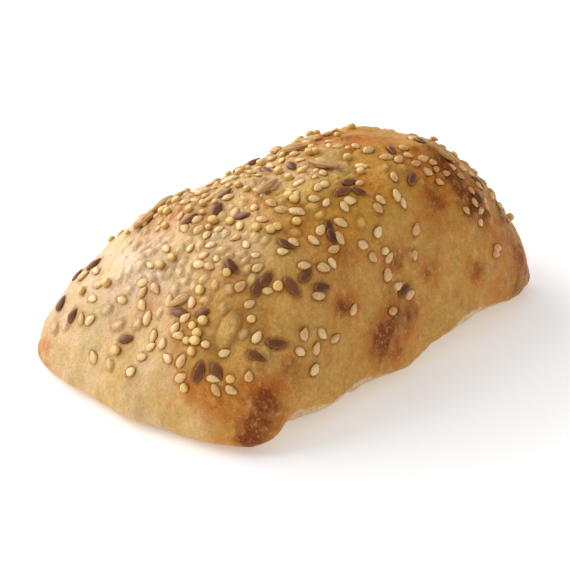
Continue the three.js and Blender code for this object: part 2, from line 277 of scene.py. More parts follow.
# Colours as the eye names them, from 0 to 255
PALE_DOUGH = (210, 174, 114)
PALE_PINK = (218, 180, 132)
GOLDEN_TAN = (208, 152, 76)
ORANGE_GOLD = (192, 110, 34)
# Painted shade in the creases round the seeds and in pores
CREASE_SHADE_TAN = (158, 102, 42)
PALE_OLIVE = (202, 170, 98)
HONEY_TINT = (1.0, 0.95, 0.54, 1.0)
OLIVE_TINT = (0.9, 1.0, 0.95, 1.0)
YELLOW_TAN = (200, 154, 76)
RED_TAN = (188, 126, 62)
RED_BROWN = (124, 54, 14)
BLISTER_PALE = (226, 178, 108)
# A painted highlight that lightens the crust's colour where it has a wet sheen
PAINTED_SHEEN_PINK = (240, 208, 178)
FLOUR_WHITE = (224, 200, 160)
SESAME_LIGHT = (250, 222, 160)
# Painted shade at the outline of a sesame seed
SESAME_RIM_SHADE = (212, 162, 90)
SESAME_TOASTED = (200, 136, 68)
LINSEED_DARK = (80, 34, 10)
LINSEED_LIGHT = (130, 78, 38)
# A linseed's paler edge: partly its own tan rim, partly a painted highlight
LINSEED_RIM_AND_HIGHLIGHT = (156, 100, 56)
# Painted shade at the outlines of millet grains and kernels
MILLET_RIM_SHADE = (206, 158, 80)
KERNEL_RIM_SHADE = (190, 142, 86)
MILLET_LIGHT = (250, 214, 136)
MILLET_DEEP = (222, 174, 90)
KERNEL_LIGHT = (232, 190, 132)
KERNEL_DARK = (186, 138, 84)
FLOOR_WHITE = (250, 250, 250)

# Light: a soft sky, a large soft lamp from the upper left of the photo, and one from behind that
# gives the crown its sheen
SKY_STRENGTH = 0.59
LAMP_DISTANCE = 1.1
LAMP_SIZE = 1.0
KEY_FROM = (-0.5, 0.65, 0.6)
KEY_POWER = 7.0
BACK_FROM = (0.1, 0.93, 0.36)
BACK_POWER = 6.6
FLOOR_SIZE = 6
FLOOR_GLOW = 0.24

# Pale underlying crust lies behind a line that runs along the roll and bends down at the near end
PALE_EDGE = -16 * MM
PALE_EDGE_DROP = 14 * MM
PALE_EDGE_HEIGHTS = (26 * MM, 8 * MM)
PALE_EDGE_TURN = 6 * MM
PALE_EDGE_SLOPE = 1.5
PALE_EDGE_SOFTNESS = 8 * MM
BACK_TOAST = 0.8

# The crown turns honey-coloured between these heights and these places along the roll
HONEY_HEIGHTS = (26 * MM, 40 * MM)
HONEY_ALONG = (-50 * MM, -5 * MM)
WARMTH_SPREAD = 0.35

KERNEL_STRIPES = 9
RANDOM_SEED = 7
TURN = 2 * math.pi


def smooth_step(start, end, value):
    t = np.clip((value - start) / (end - start), 0, 1)
    return t * t * (3 - 2 * t)


# Repeatable gradual noise from -1 to 1, with bumps of about the given size
def noise(points, size, seed):
    cells = 32
    lattice = np.random.default_rng(seed).uniform(-1, 1, (cells, cells, cells))
    where = points / size + 100
    whole = np.floor(where).astype(int)
    share = where - whole
    share = share * share * share * (share * (share * 6 - 15) + 10)
    total = np.zeros(points.shape[:-1])
    for corner in range(8):
        step = np.array([corner & 1, (corner >> 1) & 1, (corner >> 2) & 1])
        index = (whole + step) % cells
        weight = np.where(step == 1, share, 1 - share).prod(axis=-1)
        total += weight * lattice[index[..., 0], index[..., 1], index[..., 2]]
    return total * 1.6


# Share of the half width, height, and how far the rim stands above the base, for each ring
def ring_level(ring):
    dome_share = 1 - RIM_SHARE
    dome_angle = np.clip(1 - ring / dome_share, 0, 1) * math.pi / 2
    rim_angle = np.clip((1 - ring) / RIM_SHARE, 0, 1) * math.pi / 2
    on_dome = ring <= dome_share
    dome_across = np.clip(np.cos(dome_angle), 0, 1) ** DOME_SIDE_POWER
    dome_height = BELLY_HEIGHT + (HEIGHT - BELLY_HEIGHT) * np.sin(dome_angle) ** DOME_TOP_POWER
    rim_across = BASE_SHARE + (1 - BASE_SHARE) * np.sin(rim_angle)
    rim_height = BELLY_HEIGHT * (1 - np.cos(rim_angle))
    across = np.where(on_dome, dome_across, rim_across)
    height = np.where(on_dome, dome_height, rim_height)
    above = np.where(on_dome, 1.0, np.sin(rim_angle))
    return across, height, above


# Points of the plain pillow. a runs along the roll and b across it, both from -1 to 1
def pillow_points(a, b):
    ring = np.maximum(np.abs(a), np.abs(b))
    across, height, above = ring_level(ring)
    level = height / HEIGHT
    power = LOW_CORNER_POWER + (CROWN_CORNER_POWER - LOW_CORNER_POWER) * smooth_step(0, 1, level)
    safe_ring = np.maximum(ring, 1e-9)
    along_side = np.abs(a) / safe_ring
    across_side = np.abs(b) / safe_ring
    rounding = (along_side ** power + across_side ** power + 1e-12) ** (-1 / power)
    rounding = np.where(ring > 0, rounding, 0)
    fx = across * rounding * a / safe_ring
    fy = across * rounding * b / safe_ring
    low = 1 - smooth_step(0, SWELL_TOP, level)
    front = np.maximum(-fy, 0)
    mid_side = 1 - np.abs(fx) ** 3
    pull_along = 0
    pull_across = 0
    for side_x, side_y, along, sideways in CORNER_PULLS:
        nearness = (np.maximum(fx * side_x, 0) * np.maximum(fy * side_y, 0)) ** CORNER_PULL_POWER
        pull_along = pull_along + along * MM * side_x * nearness
        pull_across = pull_across + sideways * MM * side_y * nearness
    end_shift = FAR_END_SWELL * np.maximum(fx, 0) + NEAR_END_DRAW * np.maximum(-fx, 0)
    end_shift = end_shift * (1 - fy * fy)
    front_shift = FRONT_DRAW * front * (1 - fx ** 4)
    lean = level ** LEAN_POWER
    x = fx * LENGTH / 2 + low * (end_shift + pull_along) + LEAN_TO_FAR_END * lean
    y = fy * WIDTH / 2 + low * (front_shift + pull_across) - LEAN_TO_FRONT * lean
    y = y + FRONT_EDGE_INSET * front * mid_side * (1 - above)
    edge_lift = 0
    for place, reach, lift in FRONT_EDGE_LIFTS:
        edge_lift = edge_lift + lift * MM * np.exp(-((x - place * MM) / (reach * MM)) ** 2)
    z = height * (1 + RISE_TO_FAR_END * fx - RISE_TO_FRONT * fy)
    z = z + edge_lift * front ** 2 * above * low
    return np.stack([x, y, z], axis=-1)


# Outward normals of a grid of points, whose first way is a and second is b
def grid_normals(points):
    along = np.gradient(points, axis=0)
    sideways = np.gradient(points, axis=1)
    normals = np.cross(along, sideways)
    return normals / np.linalg.norm(normals, axis=-1, keepdims=True)


def lump_rise(points):
    rise = np.zeros(points.shape[:-1])
    for x, y, z, radius, height in LUMPS:
        distance = np.linalg.norm(points - np.array([x, y, z]) * MM, axis=-1)
        rise += height * MM * np.exp(-(distance / (radius * MM)) ** 2)
    for x, y, z, phase in WAVES:
        rise += WAVE_RISE * np.sin(points @ np.array([x, y, z]) / MM + phase)
    return rise * smooth_step(0, FLAT_BASE_FADE, points[..., 2])


# Move and scale a grid so that it has the crust's stated length, width and height
def fit_to_size(points):
    low = points.reshape(-1, 3).min(axis=0)
    high = points.reshape(-1, 3).max(axis=0)
    middle = (low + high) / 2
    middle[2] = 0
    scale = np.array([LENGTH, WIDTH, HEIGHT]) / (high - low)
    return (points - middle) * scale


# Small bumps, and wrinkles where two slow noises cross zero
def fine_rise(points):
    rise = np.zeros(points.shape[:-1])
    for number, (size, height) in enumerate(RELIEF):
        rise += height * noise(points, size, RANDOM_SEED + number)
    crease = 1 - np.abs(noise(points, WRINKLE_SIZE, RANDOM_SEED + 10)) * 3
    where = smooth_step(-0.2, 0.6, noise(points, 14 * MM, RANDOM_SEED + 11))
    rise -= WRINKLE_DEPTH * np.clip(crease, 0, 1) * where
    return rise * smooth_step(0, FLAT_BASE_FADE, points[..., 2])


def crust_grid():
    line = np.linspace(-1, 1, 2 * RINGS + 1)
    a, b = np.meshgrid(line, line, indexing="ij")
    points = pillow_points(a, b)
    points = points + lump_rise(points)[..., None] * grid_normals(points)
    points = fit_to_size(points)
    return points


class PhotoCamera:
    """The camera that matches the photo, and the rays through the photo's pixels."""

    def __init__(self):
        a, e = CAMERA_AZIMUTH, CAMERA_ELEVATION
        self.back = np.array([math.sin(a) * math.cos(e), -math.cos(a) * math.cos(e), math.sin(e)])
        self.right = np.array([math.cos(a), math.sin(a), 0])
        self.up = np.cross(self.back, self.right)
        self.aim = self.right * AIM_RIGHT + self.up * AIM_UP
        self.place = self.aim + self.back * CAMERA_DISTANCE
        self.focal_pixels = PIXELS_PER_METRE * CAMERA_DISTANCE

    def ray(self, px, py):
        across = (px - PHOTO_MIDDLE) / self.focal_pixels
        upward = (PHOTO_MIDDLE - py) / self.focal_pixels
        way = self.right * across + self.up * upward - self.back
        return way / np.linalg.norm(way)

    def make(self):
        data = bpy.data.cameras.new("photo_camera")
        data.sensor_width = SENSOR_WIDTH
        data.lens = self.focal_pixels / PHOTO_SIZE * SENSOR_WIDTH
        data.clip_start = 0.01
        camera = bpy.data.objects.new("photo_camera", data)
        bpy.context.collection.objects.link(camera)
        turn = Matrix([[self.right[k], self.up[k], self.back[k]] for k in range(3)])
        camera.matrix_world = Matrix.Translation(Vector(self.place)) @ turn.to_4x4()
        bpy.context.scene.camera = camera


# First point of a surface under a pixel of the photo, with the surface's normal there
def surface_at_pixel(tree, camera, px, py):
    place, normal, _, _ = tree.ray_cast(Vector(camera.place), Vector(camera.ray(px, py)))
    if place is None:
        return None
    return np.array(place), np.array(normal)


# Closed mesh of the crust: a square grid over the dome, and rings over the flat underside
def crust_mesh(points, masks):
    side = 2 * RINGS
    index = np.arange((side + 1) ** 2).reshape(side + 1, side + 1)
    quads = np.stack([index[:-1, :-1], index[1:, :-1], index[1:, 1:], index[:-1, 1:]], axis=-1)
    faces = quads.reshape(-1, 4).tolist()
    edge = np.concatenate([index[:-1, 0], index[-1, :-1], index[:0:-1, -1], index[0, :0:-1]])
    verts = [points.reshape(-1, 3)]
    rim = points.reshape(-1, 3)[edge]
    start = (side + 1) ** 2
    outer = edge
    for share in UNDERSIDE_RINGS:
        ring = rim * share
        hollow = np.abs(noise(ring, 5 * MM, RANDOM_SEED + 20)) * UNDERSIDE_HOLLOW
        ring[:, 2] = hollow * smooth_step(1, 0.9, share)
        inner = np.arange(start, start + len(edge))
        ahead = np.roll(outer, -1)
        faces += np.stack([outer, inner, np.roll(inner, -1), ahead], axis=-1).tolist()
        verts.append(ring)
        outer = inner
        start += len(edge)
    verts.append(np.zeros((1, 3)))
    faces += np.stack([outer, np.full(len(edge), start), np.roll(outer, -1)], axis=-1).tolist()
    verts = np.concatenate(verts)
    mesh = bpy.data.meshes.new("crust")
    mesh.from_pydata(verts.tolist(), [], faces)
    extra = len(verts) - (side + 1) ** 2
    for name, values in masks.items():
        below = np.full(extra, 1.0 if name == "flour" else 0.0)
        set_attribute(mesh, name, np.concatenate([values.reshape(-1), below]))
    set_crust_uv(mesh, verts, side)
    mesh.shade_smooth()
    return mesh


def set_attribute(mesh, name, values):
    layer = mesh.attributes.new(name, "FLOAT", "POINT")
    layer.data.foreach_set("value", np.asarray(values, dtype=np.float32))


# Texture places without overlap: the dome fills the upper part, the underside a corner below
def set_crust_uv(mesh, verts, side):
    line = np.linspace(0.005, 0.995, side + 1)
    along, sideways = np.meshgrid(line, line, indexing="ij")
    dome = np.stack([along, 0.2 + 0.795 * sideways], axis=-1).reshape(-1, 2)
    below = verts[:, :2] / np.array([LENGTH, WIDTH]) + 0.5
    below = 0.005 + below * np.array([0.27, 0.18])
    corners = np.empty(len(mesh.loops), dtype=np.int32)
    mesh.loops.foreach_get("vertex_index", corners)
    on_dome = np.arange(len(corners)) < side * side * 4
    uv = below[corners]
    uv[on_dome] = dome[corners[on_dome]]
    layer = mesh.uv_layers.new(name="OFBake")
    layer.data.foreach_set("uv", uv.astype(np.float32).ravel())


# Seed shapes. A drop lies along X with its tip at +X, and its flat way is Z
def drop_shape(length, width, thickness, taper, around, along, ridges=0.0, ridge_count=9):
    verts = [(length / 2, 0, 0)]
    for k in range(1, along):
        angle = math.pi * k / along
        x = math.cos(angle)
        girth = math.sin(angle) ** 0.9 * (1 - taper * max(x, 0) ** 0.8)
        for j in range(around):
            turn = TURN * j / around
            ridge = 1 + ridges * math.cos(ridge_count * turn)
            y = girth * ridge * math.cos(turn) * width / 2
            z = girth * ridge * math.sin(turn) * thickness / 2
            verts.append((x * length / 2, y, z))
    verts.append((-length / 2, 0, 0))
    return np.array(verts), ring_faces(around, along)


# A round grain with a small dimple on top
def grain_shape(width, thickness, dimple, around, along):
    verts = [(0, 0, thickness / 2 - dimple)]
    for k in range(1, along):
        angle = math.pi * k / along
        drop = dimple * math.exp(-(angle / 0.45) ** 2)
        for j in range(around):
            turn = TURN * j / around
            girth = math.sin(angle) * width / 2
            verts.append((girth * math.cos(turn), girth * math.sin(turn), math.cos(angle) * thickness / 2 - drop))
    verts.append((0, 0, -thickness / 2))
    verts = np.array(verts)
    faces = ring_faces(around, along)
    # the rings run from +Z down here and from +X down in a drop, so both turn the same way
    return verts, faces


# Faces between a first point, rings of points and a last point
def ring_faces(around, along):
    faces = []
    last = 1 + (along - 1) * around
    for j in range(around):
        ahead = (j + 1) % around
        faces.append((0, 1 + j, 1 + ahead))
        faces.append((last, last - around + ahead, last - around + j))
        for k in range(along - 2):
            start = 1 + k * around
            faces.append((start + j, start + around + j, start + around + ahead, start + ahead))
    return faces


# Which of a seed's faces look up, and its texture places as shares of a cell of two squares
def seed_uv(verts, faces):
    size = np.abs(verts[:, :2]).max(axis=0) * 2
    flat = verts[:, :2] / size + 0.5
    places = []
    for face in faces:
        looks_up = np.mean(verts[list(face), 2]) > 0
        for corner in face:
            x, y = 0.04 + 0.92 * flat[corner]
            places.append((x / 2 + (0 if looks_up else 0.5), y))
    return np.array(places)


class Seed:
    """Where one seed lies: its middle, the way its tip points, its up way, and its size."""

    def __init__(self, place, tip, up, size):
        self.place = np.array(place)
        self.up = up / np.linalg.norm(up)
        tip = tip - self.up * np.dot(tip, self.up)
        self.tip = tip / np.linalg.norm(tip)
        self.size = size
        self.toast = 0.0


# All seeds of one kind as one mesh
def seed_mesh(name, shape, seeds, random, unevenness=0.1):
    verts, faces = shape
    face_corners = [len(face) for face in faces]
    cell_uv = seed_uv(verts, faces)
    cells_across = math.ceil(math.sqrt(len(seeds) / 2))
    cells_up = math.ceil(len(seeds) / cells_across)
    all_verts, all_faces, all_uv, tones = [], [], [], []
    half = np.abs(verts).max(axis=0)
    rim = np.hypot(verts[:, 0] / half[0], verts[:, 1] / half[1])
    turn_round = np.arctan2(verts[:, 2] / half[2], verts[:, 1] / half[1])
    stripe = 0.5 + 0.5 * np.cos(KERNEL_STRIPES * turn_round)
    for number, seed in enumerate(seeds):
        sideways = np.cross(seed.up, seed.tip)
        turn = np.stack([seed.tip, sideways, seed.up])
        stretch = seed.size * (1 + random.uniform(-unevenness, unevenness, 3))
        bend = 1 + unevenness * np.sin(verts @ random.uniform(-2, 2, 3) / MM)[:, None]
        all_verts.append(seed.place + (verts * stretch * bend) @ turn)
        offset = number * len(verts)
        all_faces += [tuple(offset + corner for corner in face) for face in faces]
        cell = np.array([number % cells_across, number // cells_across])
        all_uv.append((cell + cell_uv) / np.array([cells_across, cells_up]))
        tones.append(np.full(len(verts), 0.55 * random.uniform(0, 1) + 0.7 * seed.toast))
    mesh = bpy.data.meshes.new(name)
    mesh.from_pydata(np.concatenate(all_verts).tolist(), [], all_faces)
    set_attribute(mesh, "tone", np.concatenate(tones))
    set_attribute(mesh, "rim", np.tile(smooth_step(0.7, 1, rim), len(seeds)))
    set_attribute(mesh, "stripe", np.tile(stripe, len(seeds)))
    layer = mesh.uv_layers.new(name="OFBake")
    layer.data.foreach_set("uv", np.concatenate(all_uv).astype(np.float32).ravel())
    mesh.shade_smooth()
    assert sum(face_corners) * len(seeds) == len(mesh.loops)
    return mesh


# A seed under a pixel of the photo, its tip turned as the picture shows
def seed_at_pixel(tree, camera, random, px, py, degrees, size=1.0):
    hit = surface_at_pixel(tree, camera, px, py)
    if hit is None:
        return None
    place, up = hit
    turn = math.radians(degrees)
    nearby = camera.ray(px + 3 * math.cos(turn), py - 3 * math.sin(turn))
    reach = np.dot(place - camera.place, up) / min(np.dot(nearby, up), -0.05)
    tip = camera.place + nearby * reach - place
    return Seed(place, tip, up, size * (1 + random.uniform(-SIZE_SPREAD, SIZE_SPREAD)))


# Seeds by rule: on the sides that the photo doesn't show, or between those that it does
def spread_seeds(grid, normals, camera, count, gap, random, taken, hidden):
    seeds = []
    side = grid.shape[0]
    for _ in range(HIDDEN_TRIES):
        if len(seeds) == count:
            break
        i, j = random.integers(2, side - 2, 2)
        place, up = grid[i, j], normals[i, j]
        chance = smooth_step(SEEDS_FROM_HEIGHT, SEEDS_FULL_HEIGHT, place[2])
        size = 1 + random.uniform(-SIZE_SPREAD, SIZE_SPREAD)
        if not hidden:
            chance = smooth_step(FILL_FROM_HEIGHT, FILL_FULL_HEIGHT, place[2]) * (1 - toasted(place))
            size = random.uniform(*FILL_SIZE)
        spare = random.uniform(0, 1)
        to_camera = camera.place - place
        facing = np.dot(up, to_camera) / np.linalg.norm(to_camera)
        wanted = facing < -gap / FAR_GAP if hidden else facing > HIDDEN_FACING
        tip = random.normal(0, 1, 3)
        if wanted and spare < chance and all(np.linalg.norm(place - other) > gap for other in taken):
            seeds.append(Seed(place, tip, up, size))
            taken.append(place)
    return seeds


# Every seed by kind: those at the photo's pixels, then those out of its sight
def place_seeds(grid, normals, tree, camera):
    random = np.random.default_rng(RANDOM_SEED)
    seeds = {}
    seen_lists = {
        "kernels": KERNELS_SEEN,
        "linseeds": LINSEEDS_SEEN,
        "sesame": SESAME_SEEN,
        "millet": [(px, py, 0) for px, py in MILLET_SEEN],
        "sunk_kernels": SUNK_KERNELS_SEEN,
        "sunk_sesame": SUNK_SESAME_SEEN,
    }
    for kind, seen in seen_lists.items():
        found = [seed_at_pixel(tree, camera, random, *place) for place in seen]
        seeds[kind] = [seed for seed in found if seed is not None]
    taken = [seed.place for kind in seeds for seed in seeds[kind]]
    for kind, (count, gap) in FILL_COUNTS.items():
        seeds[kind] += spread_seeds(grid, normals, camera, count, gap, random, taken, False)
    for kind, (count, gap) in HIDDEN_COUNTS.items():
        seeds[kind] += spread_seeds(grid, normals, camera, count, gap, random, taken, True)
    return seeds


# Rise of the crust round its seeds: a low rim round each, a hollow under it, a lump over sunk ones.
# The second result is 1 in the crease round each seed, where the crust's colour is darkened as painted shade
def seed_rise(grid, seeds):
    flat = grid.reshape(-1, 3)
    tree = KDTree(len(flat))
    for number, place in enumerate(flat):
        tree.insert(place, number)
    tree.balance()
    rise = np.zeros(len(flat))
    crease = np.zeros(len(flat))
    for kind, (length, width, hollow, rim) in SEED_BEDS.items():
        for seed in seeds[kind]:
            near = [found[1] for found in tree.find_range(Vector(seed.place), length * 1.3)]
            away = flat[near] - seed.place
            sideways = np.cross(seed.up, seed.tip)
            along = away @ seed.tip / (seed.size * length / 2)
            across = away @ sideways / (seed.size * width / 2)
            distance = np.hypot(along, across)
            bed = rim * np.exp(-((distance - 1.25) / 0.35) ** 2)
            bed -= hollow * (1 - smooth_step(0.7, 1.1, distance))
            rise[near] += bed
            crease[near] = np.maximum(crease[near], np.exp(-((distance - 1.05) / 0.3) ** 2))
    return rise.reshape(grid.shape[:-1]), crease.reshape(grid.shape[:-1])


# Each seed is as toasted as the crust that it lies on
def toast_seeds(seeds, grid, masks):
    flat = grid.reshape(-1, 3)
    toast = (0.1 * masks["toast"] + 0.35 * masks["golden"] + 0.4 * masks["brown"]).reshape(-1)
    for kind in seeds:
        for seed in seeds[kind]:
            nearest = np.argmin(np.sum((flat - seed.place) ** 2, axis=1))
            seed.toast = min(toast[nearest], 1.0)


# Strength from 0 to 1 near a list of points, each a place, a radius in metres and a strength
def near_points(points, spots):
    mask = np.zeros(points.shape[:-1])
    for place, radius, strength in spots:
        distance = np.linalg.norm(points - place, axis=-1)
        mask = np.maximum(mask, strength * np.exp(-((distance / radius) ** 2.4)))
    return mask


# Sum of signed changes near a list of points
def patch_change(points, spots):
    change = np.zeros(points.shape[:-1])
    for place, radius, strength in spots:
        distance = np.linalg.norm(points - place, axis=-1)
        change += strength * np.exp(-((distance / radius) ** 2))
    return change


def spots_at_pixels(tree, camera, seen):
    spots = []
    for px, py, radius, strength in seen:
        hit = surface_at_pixel(tree, camera, px, py)
        if hit is not None:
            spots.append((hit[0], radius * MM, strength))
    return spots


# Browned places on the sides that the photo doesn't show
def hidden_spots(grid, normals, camera, random):
    spots = []
    side = grid.shape[0]
    while len(spots) < HIDDEN_SPOTS:
        i, j = random.integers(8, side - 8, 2)
        place, up = grid[i, j], normals[i, j]
        if np.dot(up, camera.back) < HIDDEN_FACING:
            radius = random.uniform(*HIDDEN_SPOT_RADIUS) * MM
            spots.append((place, radius, random.uniform(*HIDDEN_SPOT_STRENGTH)))
    return spots


# How toasted the crust is: pale on the top and the near end, golden on the front, far end and back
def toasted(grid):
    x, y, z = grid[..., 0], grid[..., 1], grid[..., 2]
    edge = PALE_EDGE - PALE_EDGE_DROP * smooth_step(*PALE_EDGE_HEIGHTS, z)
    edge = edge + PALE_EDGE_SLOPE * np.maximum(x - PALE_EDGE_TURN, 0)
    front = smooth_step(-PALE_EDGE_SOFTNESS, PALE_EDGE_SOFTNESS, edge - y)
    back = smooth_step(14 * MM, 38 * MM, y) * (1 - smooth_step(12 * MM, 36 * MM, z))
    return np.maximum(front, BACK_TOAST * back)


# How honey-coloured the crust is: most on the crown, towards its far end
def crown_warmth(grid):
    return smooth_step(*HONEY_HEIGHTS, grid[..., 2]) * smooth_step(*HONEY_ALONG, grid[..., 0])


# How browned, golden, toasted and floury the crust is at each point of the grid
def crust_masks(grid, normals, tree, camera, seeds):
    random = np.random.default_rng(RANDOM_SEED + 30)
    extra = hidden_spots(grid, normals, camera, random)
    glow = [(place, radius * HIDDEN_GLOW, strength * 0.8) for place, radius, strength in extra]
    ragged = 1 + 0.35 * noise(grid, 1.6 * MM, RANDOM_SEED + 31) + 0.25 * noise(grid, 4 * MM, RANDOM_SEED + 32)
    brown = near_points(grid, spots_at_pixels(tree, camera, BROWN_SPOTS_SEEN) + extra)
    golden = near_points(grid, spots_at_pixels(tree, camera, GOLDEN_SPOTS_SEEN) + glow)
    brown = np.clip(BROWN_GAIN * brown * ragged, 0, 1)
    golden = np.clip(golden * ragged, 0, 1)
    patchy = noise(grid, 9 * MM, RANDOM_SEED + 33)
    toast = toasted(grid) + 0.16 * patchy
    toast += patch_change(grid, spots_at_pixels(tree, camera, TOAST_PATCHES_SEEN))
    warmth = crown_warmth(grid) + WARMTH_SPREAD * noise(grid, 11 * MM, RANDOM_SEED + 35)
    # Where the crust is glossier and its colour takes a painted highlight
    sheen = near_points(grid, spots_at_pixels(tree, camera, WET_GLOSS_AND_PAINTED_SHEEN_SEEN))
    line = np.abs(np.linspace(-1, 1, grid.shape[0]))
    ring = np.maximum(line[:, None], line[None, :])
    ragged_ring = ring + 0.012 * noise(grid, 2.2 * MM, RANDOM_SEED + 34)
    along = grid[..., 0]
    on_front = smooth_step(0.3, 0.8, -grid[..., 1] / (WIDTH / 2))
    on_front = on_front * (1 - smooth_step(40 * MM, 52 * MM, np.abs(along)))
    deeper = np.zeros(along.shape)
    for place, reach, rise in FLOUR_STRETCHES:
        deeper += rise * np.exp(-((along / MM - place) / reach) ** 2)
    lip = 0.965 - on_front * (0.055 + deeper)
    flour = smooth_step(lip, lip + 0.01, ragged_ring)
    near_end = smooth_step(0.45, 0.7, -grid[..., 0] / (LENGTH / 2))
    foot = smooth_step(0.9, 0.95, ragged_ring) * (1 - smooth_step(0.3, 0.6, -grid[..., 1] / (WIDTH / 2)))
    golden = np.maximum(golden, 0.3 * near_end * foot)
    sunk = np.zeros(grid.shape[:-1])
    for kind, strength in (("sunk_sesame", 1.0), ("sunk_kernels", 0.3)):
        length = SEED_BEDS[kind][0]
        spots = [(seed.place, length * 0.36, strength) for seed in seeds[kind]]
        sunk = np.maximum(sunk, near_points(grid, spots))
    return {
        "brown": brown,
        "golden": golden,
        "toast": np.clip(toast, 0, 1),
        "warmth": np.clip(warmth, -1, 1),
        "sheen": sheen,
        "flour": flour,
        "sunk": sunk,
    }


def linear(colour):
    share = np.array(colour) / 255
    value = np.where(share <= 0.04045, share / 12.92, ((share + 0.055) / 1.055) ** 2.4)
    return (*value.tolist(), 1.0)


class Material:
    """A material with one Principled shader, and short calls that add nodes before it."""

    def __init__(self, name):
        self.material = bpy.data.materials.new(name)
        self.material.use_nodes = True
        self.tree = self.material.node_tree
        self.shader = self.tree.nodes["Principled BSDF"]

    def link(self, value, socket):
        if isinstance(value, bpy.types.NodeSocket):
            self.tree.links.new(value, socket)
        else:
            socket.default_value = value

    def node(self, kind, inputs, **settings):
        node = self.tree.nodes.new(kind)
        for name, value in settings.items():
            setattr(node, name, value)
        for name, value in inputs.items():
            self.link(value, node.inputs[name])
        return node

    def set(self, **inputs):
        for name, value in inputs.items():
            self.link(value, self.shader.inputs[name.replace("_", " ")])

    def attribute(self, name):
        return self.node("ShaderNodeAttribute", {}, attribute_name=name).outputs["Fac"]

    def place(self):
        return self.node("ShaderNodeTexCoord", {}).outputs["Object"]

    # Gradual noise from about 0.3 to 0.7. A stretch under 1 draws it out upwards
    def noise(self, size, detail=2.0, roughness=0.5, stretch=1.0):
        where = self.node("ShaderNodeMapping", {"Vector": self.place(), "Scale": (1, 1, stretch)})
        where = where.outputs["Vector"]
        inputs = {"Vector": where, "Scale": 1 / size, "Detail": detail, "Roughness": roughness}
        return self.node("ShaderNodeTexNoise", inputs).outputs["Fac"]

    # Round dots: 1 in the middle of each and 0 outside them
    def dots(self, size, radius, randomness=1.0):
        inputs = {"Vector": self.place(), "Scale": 1 / size, "Randomness": randomness}
        cells = self.node("ShaderNodeTexVoronoi", inputs)
        return self.spread(cells.outputs["Distance"], radius, radius * 0.4, 0, 1)

    # Thin winding threads: 1 along them and 0 elsewhere
    def threads(self, size, width):
        away = self.math("SUBTRACT", self.noise(size, 1.5), 0.5, clamp=False)
        return self.spread(self.math("ABSOLUTE", away), 0, width, 1, 0)

    # A value moved from one range to another, and held inside it
    def spread(self, value, low, high, new_low, new_high):
        inputs = {"Value": value, "From Min": low, "From Max": high, "To Min": new_low, "To Max": new_high}
        return self.node("ShaderNodeMapRange", inputs, clamp=True).outputs["Result"]

    def math(self, operation, first, second=0.0, clamp=True):
        node = self.node("ShaderNodeMath", {}, operation=operation, use_clamp=clamp)
        self.link(first, node.inputs[0])
        self.link(second, node.inputs[1])
        return node.outputs[0]

    def mix(self, share, first, second, blend="MIX"):
        node = self.node("ShaderNodeMix", {}, data_type="RGBA", blend_type=blend)
        self.link(share, node.inputs[0])
        self.link(first, node.inputs[6])
        self.link(second, node.inputs[7])
        return node.outputs[2]

    def bump(self, height, depth, strength=1.0, after=None):
        inputs = {"Height": height, "Distance": depth, "Strength": strength}
        if after is not None:
            inputs["Normal"] = after
        return self.node("ShaderNodeBump", inputs).outputs["Normal"]


